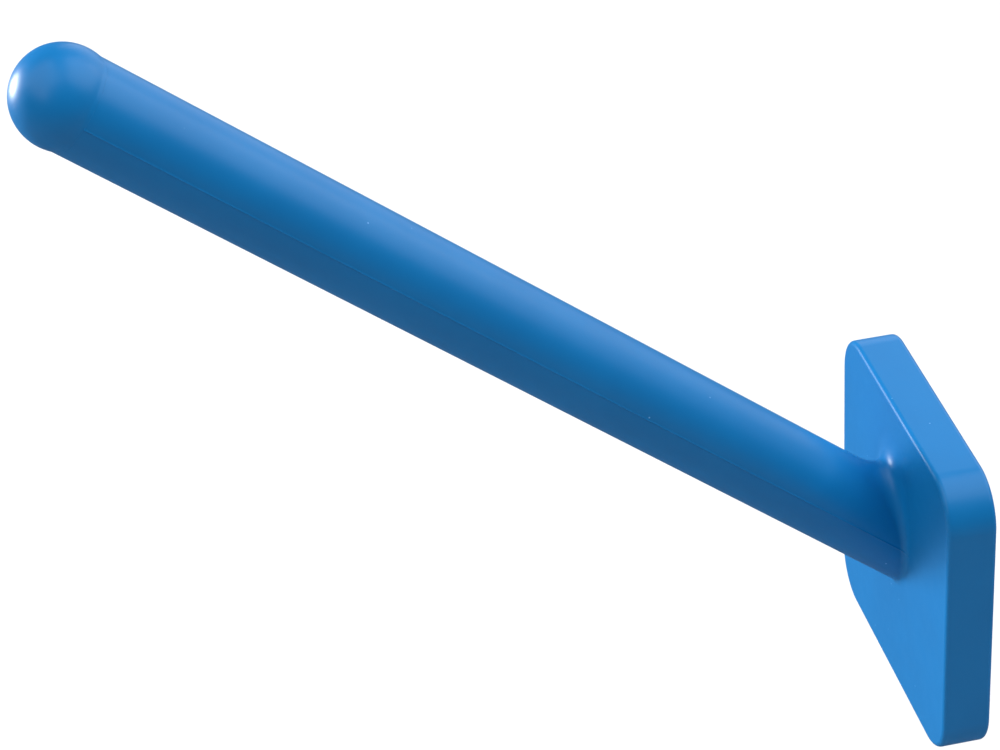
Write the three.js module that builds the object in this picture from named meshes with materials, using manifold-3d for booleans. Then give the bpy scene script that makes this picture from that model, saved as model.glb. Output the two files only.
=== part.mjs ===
/**
 * Sock aid: a round shaft with a ball nose, rising at an angle from the middle of a thick square plate.
 *
 * Millimetres, +Z up. The origin is the centre of the flat rest face behind the plate. +X points out of
 * that face, and the shaft rises towards -X and +Z in the plane Y = 0.
 *
 * The plate is a moulded tray closed from behind. Inside, an aluminium tube is welded into an aluminium
 * plate. Two half shells clothe the tube, and the ball is plugged into its free end.
 */
import * as THREE from 'three';
import { ParametricGeometry } from 'three/addons/geometries/ParametricGeometry.js';
import { mergeVertices } from 'three/addons/utils/BufferGeometryUtils.js';
import Module from 'manifold-3d';

// Space left between two pieces that touch.
const GAP = 0.3;

// Shaft and ball nose.
const SHAFT_RADIUS = 12.5;
const SHAFT_TILT = THREE.MathUtils.degToRad(39.4);
const SHAFT_LENGTH = 262;
const SHAFT_RISE = 5.1;
const BALL_RADIUS = 12.9;
const BALL_BLEND = 6;
const BALL_SETBACK = 4.2;
const ROOT_FILLET_TOP = 6.5;
const ROOT_FILLET_SIDE = 2.8;
const ROOT_FLANGE = 1.2;

// Tube inside the shaft, and how the ball is held in it.
const TUBE_RADIUS = 9.5;
const TUBE_BORE_RADIUS = 7.5;
const SPIGOT_LENGTH = 24;
const SPIGOT_CHAMFER = 1;
const PIN_RADIUS = 1.5;
const PIN_LENGTH = 18.4;
const PIN_CHAMFER = 0.4;
const PIN_DEPTH = 12;

// Plate, from its rest face forwards.
const PLATE_SIDE = 88;
const PLATE_THICKNESS = 13.3;
const PLATE_CORNER = 13;
const PLATE_EDGE = 1.4;
const COVER_WALL = 3;
const COVER_FRONT = 3.2;
const BACK_COVER_THICKNESS = 3.5;
const BACK_COVER_EDGE = 0.4;
const WELD_DEPTH = 2.4;
const WELD_WIDTH = 3;

// Grip pad let into the back cover.
const PAD_RADIUS = 29;
const PAD_EDGE = 0.5;
const PAD_PROUD = 0.5;
const PAD_RECESS = 1.2;

// Screws that close the plate, and the posts they bite into.
const SCREW_SPACING = 62;
const SCREW_RADIUS = 1.5;
const SCREW_HEAD_RADIUS = 3.1;
const SCREW_HEAD_HEIGHT = 1.7;
const SCREW_SUNK = 0.4;
const SCREW_LENGTH = 10.5;
const SCREW_SOCKET_RADIUS = 1.15;
const SCREW_SOCKET_DEPTH = 1.1;
const SCREW_SOCKET_SIDES = 6;
const POST_RADIUS = 4;
const POST_HOLE_DEPTH = 7.6;

// How finely round shapes are cut up.
const ROUND_STEPS = 64;
const SMALL_ROUND_STEPS = 16;
const CORNER_STEPS = 10;
const FILLET_STEPS = 7;
const EDGE_STEPS = 4;
const BALL_STEPS = 18;
const BLEND_STEPS = 4;
const MERGE_DISTANCE = 1e-4;

// Levels across the plate, along +X.
const REAR_RIM = -PAD_PROUD;
const FRONT_FACE = REAR_RIM - PLATE_THICKNESS;
const POCKET_FLOOR = FRONT_FACE + COVER_FRONT;
const BACK_COVER_FRONT = REAR_RIM - BACK_COVER_THICKNESS;
const INSERT_FRONT = POCKET_FLOOR + GAP;
const INSERT_REAR = BACK_COVER_FRONT - GAP;
const SCREW_HEAD_LEVEL = REAR_RIM - SCREW_SUNK;

// Lengths along the shaft, from the plate's front face.
const BALL_SEAT = SHAFT_LENGTH - BALL_SETBACK;
const SHAFT_END = BALL_SEAT - GAP;

// How far a cutting tool reaches across the plate, and along the whole shaft.
const PLATE_REACH = 60;
const SHAFT_REACH = 600;

// Directions in the shaft's frame: up the plate's face, and into the plate.
const UP_PLATE = new THREE.Vector3(Math.cos(SHAFT_TILT), 0, Math.sin(SHAFT_TILT));
const INTO_PLATE = new THREE.Vector3(Math.sin(SHAFT_TILT), 0, -Math.cos(SHAFT_TILT));

const BLUE = 0x1f78c8;
const ALUMINIUM = 0xb9bdc2;
const STEEL = 0x9aa0a6;
const RUBBER = 0x23262a;

const wasm = await Module();
wasm.setup();

/** Shape frame of the plate: x runs along +Y, y along +Z and z along +X. */
function plateMatrix() {
  const along = [new THREE.Vector3(0, 1, 0), new THREE.Vector3(0, 0, 1), new THREE.Vector3(1, 0, 0)];
  return new THREE.Matrix4().makeBasis(...along);
}

/** Frame of the shaft: z runs up its axis from the plate's front face, and x to its upper side. */
function shaftMatrix() {
  const turn = new THREE.Matrix4().makeRotationY(SHAFT_TILT - Math.PI / 2);
  return turn.setPosition(FRONT_FACE, 0, SHAFT_RISE);
}

/** The move from the shaft's frame to the plate's. */
function shaftToPlate() {
  return plateMatrix().invert().multiply(shaftMatrix());
}

/** A closed geometry as a solid, with shared corners merged and flat triangles dropped. */
function toSolid(geometry) {
  const bare = geometry.clone();
  bare.deleteAttribute('normal');
  bare.deleteAttribute('uv');
  const merged = mergeVertices(bare, MERGE_DISTANCE);
  const corners = merged.index.array;
  const kept = [];
  for (let i = 0; i < corners.length; i += 3) {
    const [a, b, c] = [corners[i], corners[i + 1], corners[i + 2]];
    if (a !== b && b !== c && c !== a) {
      kept.push(a, b, c);
    }
  }
  const vertProperties = new Float32Array(merged.attributes.position.array);
  const mesh = new wasm.Mesh({ numProp: 3, vertProperties, triVerts: new Uint32Array(kept) });
  return new wasm.Manifold(mesh);
}

/** A solid as a geometry that a mesh can hold. */
function toGeometry(solid) {
  const mesh = solid.getMesh();
  const geometry = new THREE.BufferGeometry();
  geometry.setAttribute('position', new THREE.BufferAttribute(mesh.vertProperties, 3));
  geometry.setIndex(new THREE.BufferAttribute(mesh.triVerts, 1));
  geometry.computeVertexNormals();
  return geometry;
}

/** The first geometry with the others cut away from it. */
function cut(geometry, ...tools) {
  return toGeometry(tools.reduce((solid, tool) => solid.subtract(toSolid(tool)), toSolid(geometry)));
}

/** Two geometries joined into one body. */
function join(first, ...others) {
  return toGeometry(others.reduce((solid, other) => solid.add(toSolid(other)), toSolid(first)));
}

/** A solid of revolution about z, from points of [radius, height] that start and end on the axis. */
function turned(profile, steps = ROUND_STEPS) {
  const points = profile.map(([radius, height]) => new THREE.Vector2(radius, height));
  return new THREE.LatheGeometry(points, steps).rotateX(Math.PI / 2);
}

/** A plain round bar along z, from one height to another. */
function bar(radius, low, high, steps = ROUND_STEPS) {
  return turned([[0, low], [radius, low], [radius, high], [0, high]], steps);
}

/** A square outline with round corners, centred on the frame. */
function roundedSquare(side, corner) {
  const reach = side / 2 - corner;
  const shape = new THREE.Shape();
  const turns = [[reach, reach, 0], [-reach, reach, 1], [-reach, -reach, 2], [reach, -reach, 3]];
  for (const [x, y, quarter] of turns) {
    shape.absarc(x, y, corner, (quarter * Math.PI) / 2, ((quarter + 1) * Math.PI) / 2);
  }
  return shape;
}

/** A slab of an outline between two levels, with its rims rounded over, or chamfered in one step. */
function slab(shape, low, high, edge = 0, edgeSteps = 1) {
  const settings = {
    depth: high - low - 2 * edge,
    bevelEnabled: edge > 0,
    bevelThickness: edge,
    bevelSize: edge,
    bevelOffset: -edge,
    bevelSegments: edgeSteps,
    curveSegments: CORNER_STEPS,
  };
  return new THREE.ExtrudeGeometry(shape, settings).translate(0, 0, low + edge);
}

/** The four places, in the plate's frame, where a screw goes in. */
function screwPlaces() {
  const reach = SCREW_SPACING / 2;
  return [[-reach, -reach], [reach, -reach], [reach, reach], [-reach, reach]];
}

/** The same tool set at every screw's place. */
function atScrews(makeTool) {
  return screwPlaces().map(([x, y]) => makeTool().translate(x, y, 0));
}

/** Where the generator of a cylinder about the shaft meets the plane a depth behind the front face. */
function onPlate(radius, angle, depth) {
  const x = radius * Math.cos(angle);
  const z = (x * Math.sin(SHAFT_TILT) - depth) / Math.cos(SHAFT_TILT);
  return new THREE.Vector3(x, radius * Math.sin(angle), z);
}

/** The concave blend from the shaft to the plate's face, at one angle round it: fuller towards the top. */
function rootFillet(angle) {
  const corner = onPlate(SHAFT_RADIUS, angle, 0);
  const outwards = UP_PLATE.clone().multiplyScalar(Math.cos(angle) * Math.cos(SHAFT_TILT));
  outwards.y = Math.sin(angle);
  outwards.normalize();
  const towardsTop = Math.max(0, Math.cos(angle)) ** 2;
  const radius = ROOT_FILLET_SIDE + (ROOT_FILLET_TOP - ROOT_FILLET_SIDE) * towardsTop;
  const reach = radius / Math.tan(Math.acos(outwards.z) / 2);
  const start = corner.clone().add(new THREE.Vector3(0, 0, reach));
  const end = corner.clone().addScaledVector(outwards, reach);
  return new THREE.QuadraticBezierCurve3(start, corner, end).getPoints(FILLET_STEPS);
}

/** The closed section of the shaft's clothing at one angle round it: bore, root flange and outside. */
function clothingSection(angle) {
  const fillet = rootFillet(angle);
  const boreRadius = TUBE_RADIUS + GAP;
  const flangeEdge = fillet.at(-1).clone().addScaledVector(INTO_PLATE, ROOT_FLANGE);
  const [cos, sin] = [Math.cos(angle), Math.sin(angle)];
  const outerEnd = new THREE.Vector3(SHAFT_RADIUS * cos, SHAFT_RADIUS * sin, SHAFT_END);
  const boreEnd = new THREE.Vector3(boreRadius * cos, boreRadius * sin, SHAFT_END);
  return [boreEnd, onPlate(boreRadius, angle, ROOT_FLANGE), flangeEdge, ...fillet.reverse(), outerEnd];
}

/** The whole clothing of the shaft, before it is parted into two shells. */
function clothing() {
  const count = clothingSection(0).length;
  const surface = (u, v, target) => {
    const section = clothingSection(2 * Math.PI * (u % 1));
    target.copy(section[Math.round(v * count) % count]);
  };
  return new ParametricGeometry(surface, ROUND_STEPS, count);
}

/** Half of the clothing: side +1 is the upper shell, and -1 the lower one. */
function shaftShell(side) {
  const otherHalf = new THREE.BoxGeometry(SHAFT_REACH, SHAFT_REACH, 2 * SHAFT_REACH);
  otherHalf.translate((-side * (SHAFT_REACH - GAP)) / 2, 0, 0);
  return cut(clothing(), otherHalf);
}

/** The hole that the retaining pin needs, across the shaft. */
function pinTool(radius, length) {
  return bar(radius, -length / 2, length / 2, SMALL_ROUND_STEPS).rotateX(Math.PI / 2)
    .translate(0, 0, BALL_SEAT - PIN_DEPTH);
}

/** Outside of the ball nose: a short collar, a hollow blend and the ball, up to the tip. */
function ballOutline() {
  const hollowRadius = SHAFT_RADIUS + BALL_BLEND;
  const blendAngle = Math.acos(hollowRadius / (BALL_RADIUS + BALL_BLEND));
  const hollowHeight = SHAFT_LENGTH - (BALL_RADIUS + BALL_BLEND) * Math.sin(blendAngle);
  const outline = [[SHAFT_RADIUS, BALL_SEAT]];
  for (let step = 0; step < BLEND_STEPS; step += 1) {
    const angle = (blendAngle * step) / BLEND_STEPS;
    outline.push([hollowRadius - BALL_BLEND * Math.cos(angle), hollowHeight + BALL_BLEND * Math.sin(angle)]);
  }
  for (let step = 0; step < BALL_STEPS; step += 1) {
    const angle = ((Math.PI / 2 + blendAngle) * step) / BALL_STEPS - blendAngle;
    outline.push([BALL_RADIUS * Math.cos(angle), SHAFT_LENGTH + BALL_RADIUS * Math.sin(angle)]);
  }
  return [...outline, [0, SHAFT_LENGTH + BALL_RADIUS]];
}

/** Ball nose with the spigot that plugs into the tube. */
function ballEnd() {
  const spigotRadius = TUBE_BORE_RADIUS - GAP;
  const spigotEnd = BALL_SEAT - SPIGOT_LENGTH;
  const profile = [
    [0, spigotEnd],
    [spigotRadius - SPIGOT_CHAMFER, spigotEnd],
    [spigotRadius, spigotEnd + SPIGOT_CHAMFER],
    [spigotRadius, BALL_SEAT],
    ...ballOutline(),
  ];
  return cut(turned(profile), pinTool(PIN_RADIUS + GAP, 2 * SHAFT_RADIUS));
}

/** Pin across the tube and the ball's spigot. */
function ballPin() {
  const half = PIN_LENGTH / 2;
  const profile = [
    [0, -half],
    [PIN_RADIUS - PIN_CHAMFER, -half],
    [PIN_RADIUS, PIN_CHAMFER - half],
    [PIN_RADIUS, half - PIN_CHAMFER],
    [PIN_RADIUS - PIN_CHAMFER, half],
    [0, half],
  ];
  return turned(profile, SMALL_ROUND_STEPS).rotateX(Math.PI / 2).translate(0, 0, BALL_SEAT - PIN_DEPTH);
}

/** Aluminium tube, mitred flush with the back of the plate that it is welded into. */
function coreTube() {
  const bore = bar(TUBE_BORE_RADIUS, -SHAFT_REACH, SHAFT_REACH);
  const behindInsert = new THREE.BoxGeometry(SHAFT_REACH, SHAFT_REACH, SHAFT_REACH);
  behindInsert.translate(0, 0, INSERT_REAR + SHAFT_REACH / 2).applyMatrix4(shaftToPlate().invert());
  const pinHole = pinTool(PIN_RADIUS + GAP, 2 * SHAFT_RADIUS);
  return cut(bar(TUBE_RADIUS, -PLATE_REACH, SHAFT_END), bore, behindInsert, pinHole);
}

/** Room for the tube through the plate's pieces, in the plate's frame. */
function tubeTool() {
  return bar(TUBE_RADIUS + GAP, -PLATE_REACH, PLATE_REACH).applyMatrix4(shaftToPlate());
}

/** Oval countersink round the tube at the insert's rear face, grown by a margin. */
function weldTool(margin) {
  const low = INSERT_REAR - WELD_DEPTH - margin;
  const inner = TUBE_RADIUS + margin;
  const outer = TUBE_RADIUS + WELD_WIDTH + margin;
  const cone = turned([[0, low], [inner, low], [outer, INSERT_REAR], [0, INSERT_REAR]]);
  const drop = Math.tan(SHAFT_TILT);
  const lean = new THREE.Matrix4().makeShear(0, 0, 0, 0, 0, -drop);
  const centre = SHAFT_RISE + FRONT_FACE * drop;
  return cone.scale(1, 1 / Math.cos(SHAFT_TILT), 1).applyMatrix4(lean).translate(0, centre, 0);
}

/** Weld bead that fills the countersink round the tube. */
function weldBead() {
  return cut(weldTool(0), tubeTool());
}

/** Seat in the cover's face for the shells' root flange. */
function flangeSeat() {
  const outline = [];
  for (let step = 0; step < ROUND_STEPS; step += 1) {
    const fillet = rootFillet((2 * Math.PI * step) / ROUND_STEPS);
    const rim = fillet.at(-1).clone().applyMatrix4(shaftToPlate());
    const before = fillet[0].clone().applyMatrix4(shaftToPlate());
    const outwards = new THREE.Vector2(rim.x - before.x, rim.y - before.y);
    outline.push(new THREE.Vector2(rim.x, rim.y).addScaledVector(outwards.normalize(), GAP));
  }
  const shape = new THREE.Shape(outline);
  return slab(shape, FRONT_FACE - COVER_FRONT, FRONT_FACE + ROOT_FLANGE + GAP);
}

/** Front of the plate: a tray with rounded rims, screw posts and the shaft's seat. */
function plateCover() {
  const outline = roundedSquare(PLATE_SIDE, PLATE_CORNER);
  const block = slab(outline, FRONT_FACE, REAR_RIM, PLATE_EDGE, EDGE_STEPS);
  const pocket = roundedSquare(PLATE_SIDE - 2 * COVER_WALL, PLATE_CORNER - COVER_WALL);
  const tray = cut(block, slab(pocket, POCKET_FLOOR, PLATE_REACH));
  const post = () => bar(POST_RADIUS, POCKET_FLOOR - COVER_FRONT / 2, INSERT_REAR, SMALL_ROUND_STEPS);
  const posted = join(tray, ...atScrews(post));
  const low = INSERT_REAR - POST_HOLE_DEPTH;
  const hole = () => bar(SCREW_RADIUS + GAP, low, REAR_RIM, SMALL_ROUND_STEPS);
  return cut(posted, tubeTool(), flangeSeat(), ...atScrews(hole));
}

/** Aluminium plate inside the cover, with room for the posts, the tube and the weld. */
function plateInsert() {
  const side = PLATE_SIDE - 2 * COVER_WALL - 2 * GAP;
  const outline = roundedSquare(side, PLATE_CORNER - COVER_WALL - GAP);
  const post = () => bar(POST_RADIUS + GAP, -PLATE_REACH, PLATE_REACH, SMALL_ROUND_STEPS);
  return cut(slab(outline, INSERT_FRONT, INSERT_REAR), tubeTool(), weldTool(GAP), ...atScrews(post));
}

/** Profile of a countersunk screw from its tip to a top level, grown all round by a margin. */
function screwProfile(margin, tipLevel, topLevel) {
  return [
    [0, tipLevel],
    [(SCREW_RADIUS + margin) / 2, tipLevel],
    [SCREW_RADIUS + margin, tipLevel + SCREW_RADIUS],
    [SCREW_RADIUS + margin, SCREW_HEAD_LEVEL - SCREW_HEAD_HEIGHT - margin / 2],
    [SCREW_HEAD_RADIUS + margin, SCREW_HEAD_LEVEL - margin / 2],
    [SCREW_HEAD_RADIUS + margin, topLevel],
    [0, topLevel],
  ];
}

/** Countersunk screw with a hexagon socket. */
function coverScrew() {
  const profile = screwProfile(0, SCREW_HEAD_LEVEL - SCREW_LENGTH, SCREW_HEAD_LEVEL);
  const socketFloor = SCREW_HEAD_LEVEL - SCREW_SOCKET_DEPTH;
  const socket = bar(SCREW_SOCKET_RADIUS, socketFloor, REAR_RIM, SCREW_SOCKET_SIDES);
  return cut(turned(profile, SMALL_ROUND_STEPS), socket);
}

/** Rear cover that closes the tray, countersunk for the screws and recessed for the grip pad. */
function backCover() {
  const side = PLATE_SIDE - 2 * COVER_WALL - 2 * GAP;
  const outline = roundedSquare(side, PLATE_CORNER - COVER_WALL - GAP);
  const sheet = slab(outline, BACK_COVER_FRONT, REAR_RIM, BACK_COVER_EDGE);
  const hole = () => turned(screwProfile(GAP, -PLATE_REACH, PLATE_REACH), SMALL_ROUND_STEPS);
  const recess = bar(PAD_RADIUS + GAP, REAR_RIM - PAD_RECESS, PLATE_REACH);
  return cut(sheet, recess, ...atScrews(hole));
}

/** Round rubber pad that stands a little proud of the back. */
function gripPad() {
  const profile = [
    [0, REAR_RIM - PAD_RECESS + GAP],
    [PAD_RADIUS, REAR_RIM - PAD_RECESS + GAP],
    [PAD_RADIUS, -PAD_EDGE],
    [PAD_RADIUS - PAD_EDGE, 0],
    [0, 0],
  ];
  return turned(profile);
}

/** A named piece with its own material. */
function piece(name, geometry, color, roughness, metalness) {
  const material = new THREE.MeshStandardMaterial({ color, roughness, metalness });
  const mesh = new THREE.Mesh(geometry, material);
  mesh.name = name;
  return mesh;
}

/** Everything that stands on the shaft's axis. */
function shaftAssembly() {
  const group = new THREE.Group();
  group.applyMatrix4(shaftMatrix());
  group.add(piece('ball_end', ballEnd(), BLUE, 0.3, 0));
  group.add(piece('ball_pin', ballPin(), STEEL, 0.35, 1));
  group.add(piece('shaft_upper_shell', shaftShell(1), BLUE, 0.35, 0));
  group.add(piece('shaft_lower_shell', shaftShell(-1), BLUE, 0.35, 0));
  group.add(piece('core_tube', coreTube(), ALUMINIUM, 0.4, 1));
  return group;
}

/** Everything that lies in the plate. */
function plateAssembly() {
  const group = new THREE.Group();
  group.applyMatrix4(plateMatrix());
  group.add(piece('plate_cover', plateCover(), BLUE, 0.3, 0));
  group.add(piece('plate_insert', plateInsert(), ALUMINIUM, 0.45, 1));
  group.add(piece('weld_bead', weldBead(), ALUMINIUM, 0.55, 1));
  group.add(piece('back_cover', backCover(), BLUE, 0.5, 0));
  screwPlaces().forEach(([x, y], index) => {
    const screw = piece(`cover_screw_${index + 1}`, coverScrew(), STEEL, 0.3, 1);
    screw.position.set(x, y, 0);
    group.add(screw);
  });
  group.add(piece('grip_pad', gripPad(), RUBBER, 0.85, 0));
  return group;
}

const sockAid = new THREE.Group();
sockAid.add(shaftAssembly(), plateAssembly());

export default sockAid;
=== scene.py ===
"""Sock aid: a ball-nosed shaft that rises from a thick square plate.

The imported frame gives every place. The shaft's clothing, the ball nose, the plate's two covers, the
screws and the grip pad are modelled here, and the metal core stays as it comes in the frame.
"""

import logging
import math
from collections.abc import Callable, Iterator
from contextlib import contextmanager
from dataclasses import dataclass, field
from enum import Enum

import bmesh
import bpy
from mathutils import Matrix, Vector


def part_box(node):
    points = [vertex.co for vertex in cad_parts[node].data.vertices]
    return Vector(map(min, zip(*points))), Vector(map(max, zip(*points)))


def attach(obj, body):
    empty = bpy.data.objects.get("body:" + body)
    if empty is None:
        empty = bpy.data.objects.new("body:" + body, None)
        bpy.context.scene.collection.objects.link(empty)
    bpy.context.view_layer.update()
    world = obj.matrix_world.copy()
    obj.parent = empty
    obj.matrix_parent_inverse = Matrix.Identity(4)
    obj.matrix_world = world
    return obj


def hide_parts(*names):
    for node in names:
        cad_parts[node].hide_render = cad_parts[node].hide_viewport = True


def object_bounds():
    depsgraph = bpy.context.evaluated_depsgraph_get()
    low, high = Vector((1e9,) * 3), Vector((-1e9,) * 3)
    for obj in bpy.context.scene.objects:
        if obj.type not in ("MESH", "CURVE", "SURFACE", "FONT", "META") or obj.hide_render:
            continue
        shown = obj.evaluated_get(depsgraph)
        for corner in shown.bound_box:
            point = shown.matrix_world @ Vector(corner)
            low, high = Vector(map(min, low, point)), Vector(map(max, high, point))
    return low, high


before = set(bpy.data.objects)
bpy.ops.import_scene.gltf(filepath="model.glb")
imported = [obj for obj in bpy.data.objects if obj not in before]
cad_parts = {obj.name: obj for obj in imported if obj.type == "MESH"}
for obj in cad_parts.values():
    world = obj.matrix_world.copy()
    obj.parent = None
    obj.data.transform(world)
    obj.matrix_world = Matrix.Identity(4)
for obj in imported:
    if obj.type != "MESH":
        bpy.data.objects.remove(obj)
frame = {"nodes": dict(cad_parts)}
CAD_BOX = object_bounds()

log = logging.getLogger("sock_aid")

MM = 0.001
# Lengths in metres under which two places count as one: tight, usual and loose.
TIGHT = 1e-7
SAME = 1e-6
LOOSE = 1e-5
Colour = tuple[float, float, float, float]


# --- Modelling bench ---------------------------------------------------------------------------------


class Pick(Enum):
    """What a selection is made of, with Blender's select mode for it."""

    VERTS = (True, False, False)
    EDGES = (False, True, False)
    FACES = (False, False, True)


class Bench:
    """Operator modelling on one object at a time, with everything else deselected."""

    @staticmethod
    def take(obj: bpy.types.Object) -> None:
        """Makes one object the only selected and the active one.

        Args:
            obj: The object to work on.
        """
        bpy.ops.object.select_all(action="DESELECT")
        obj.select_set(True)
        bpy.context.view_layer.objects.active = obj

    @staticmethod
    def start(name: str, add: Callable[..., set[str]], **sizes: object) -> bpy.types.Object:
        """Adds a primitive at its size and place.

        Args:
            name: The new object's name.
            add: The operator that adds the primitive.
            sizes: The operator's own settings.

        Returns:
            The new object.
        """
        bpy.ops.object.select_all(action="DESELECT")
        add(**sizes)
        made = bpy.context.view_layer.objects.active
        made.name = name
        made.data.name = name
        return made

    @staticmethod
    @contextmanager
    def editing(obj: bpy.types.Object) -> Iterator[None]:
        """Holds an object in edit mode with nothing selected.

        Args:
            obj: The object to edit.
        """
        Bench.take(obj)
        bpy.ops.object.mode_set(mode="EDIT")
        bpy.ops.mesh.select_all(action="DESELECT")
        yield
        bpy.ops.object.mode_set(mode="OBJECT")

    @staticmethod
    def pick(obj: bpy.types.Object, kind: Pick, test: Callable[..., bool]) -> None:
        """Selects the elements of the edited mesh that pass a test, and only those.

        Args:
            obj: The object being edited.
            kind: Whether vertices, edges or faces are tested.
            test: Tells of each element whether it is wanted.
        """
        bpy.ops.mesh.select_all(action="DESELECT")
        bpy.context.tool_settings.mesh_select_mode = kind.value
        mesh = bmesh.from_edit_mesh(obj.data)
        mesh.normal_update()
        for item in [item for item in getattr(mesh, kind.name.lower()) if test(item)]:
            item.select_set(True)
        bmesh.update_edit_mesh(obj.data)

    @staticmethod
    def copy(obj: bpy.types.Object, name: str) -> bpy.types.Object:
        """Copies an object with a mesh of its own.

        Args:
            obj: The object to copy.
            name: The copy's name.

        Returns:
            The copy.
        """
        Bench.take(obj)
        bpy.ops.object.duplicate()
        made = bpy.context.view_layer.objects.active
        made.name = name
        made.data.name = name
        return made

    @staticmethod
    def place(obj: bpy.types.Object, matrix: Matrix) -> None:
        """Moves an object by a matrix and settles that place in its mesh.

        Args:
            obj: The object to move.
            matrix: The move.
        """
        obj.matrix_basis = matrix @ obj.matrix_basis
        Bench.take(obj)
        bpy.ops.object.transform_apply(location=True, rotation=True, scale=True)

    @staticmethod
    def modify(obj: bpy.types.Object, kind: str, **settings: object) -> None:
        """Adds a modifier and applies it.

        Args:
            obj: The object to change.
            kind: The modifier's type.
            settings: The modifier's settings.
        """
        Bench.take(obj)
        modifier = obj.modifiers.new(kind.title(), kind)
        for key, value in settings.items():
            setattr(modifier, key, value)
        bpy.ops.object.modifier_apply(modifier=modifier.name)

    @staticmethod
    def cut(obj: bpy.types.Object, tool: bpy.types.Object, operation: str = "DIFFERENCE") -> None:
        """Cuts a tool out of an object, or joins it on, and removes the tool.

        Args:
            obj: The object to change.
            tool: The other solid.
            operation: The boolean operation.
        """
        Bench.modify(obj, "BOOLEAN", operation=operation, object=tool, solver="EXACT")
        bpy.data.objects.remove(tool)

    @staticmethod
    def finish(obj: bpy.types.Object, angle: float = 40.0) -> None:
        """Merges doubles, turns faces outwards and shades the piece.

        Args:
            obj: The finished piece.
            angle: Edges sharper than this many degrees stay sharp.
        """
        with Bench.editing(obj):
            bpy.ops.mesh.select_all(action="SELECT")
            bpy.ops.mesh.remove_doubles(threshold=SAME)
            bpy.ops.mesh.normals_make_consistent(inside=False)
        Bench.take(obj)
        bpy.ops.object.shade_smooth_by_angle(angle=math.radians(angle))
        Bench.modify(obj, "WEIGHTED_NORMAL", mode="FACE_AREA_WITH_ANGLE", keep_sharp=True)


# --- Shader bench ------------------------------------------------------------------------------------


@dataclass(frozen=True)
class Wire:
    """An output socket that adds Math nodes when it is used in an expression."""

    recipe: "Recipe"
    socket: bpy.types.NodeSocket

    def _maths(self, operation: str, first: object, second: object) -> "Wire":
        """Adds one Math node."""
        return self.recipe.maths(operation, first, second)

    def __add__(self, other: "Wire | float") -> "Wire":
        """Sum."""
        return self._maths("ADD", self, other)

    def __radd__(self, other: float) -> "Wire":
        """Sum with a number first."""
        return self._maths("ADD", other, self)

    def __sub__(self, other: "Wire | float") -> "Wire":
        """Difference."""
        return self._maths("SUBTRACT", self, other)

    def __rsub__(self, other: float) -> "Wire":
        """Difference with a number first."""
        return self._maths("SUBTRACT", other, self)

    def __mul__(self, other: "Wire | float") -> "Wire":
        """Product."""
        return self._maths("MULTIPLY", self, other)

    def __rmul__(self, other: float) -> "Wire":
        """Product with a number first."""
        return self._maths("MULTIPLY", other, self)


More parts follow.
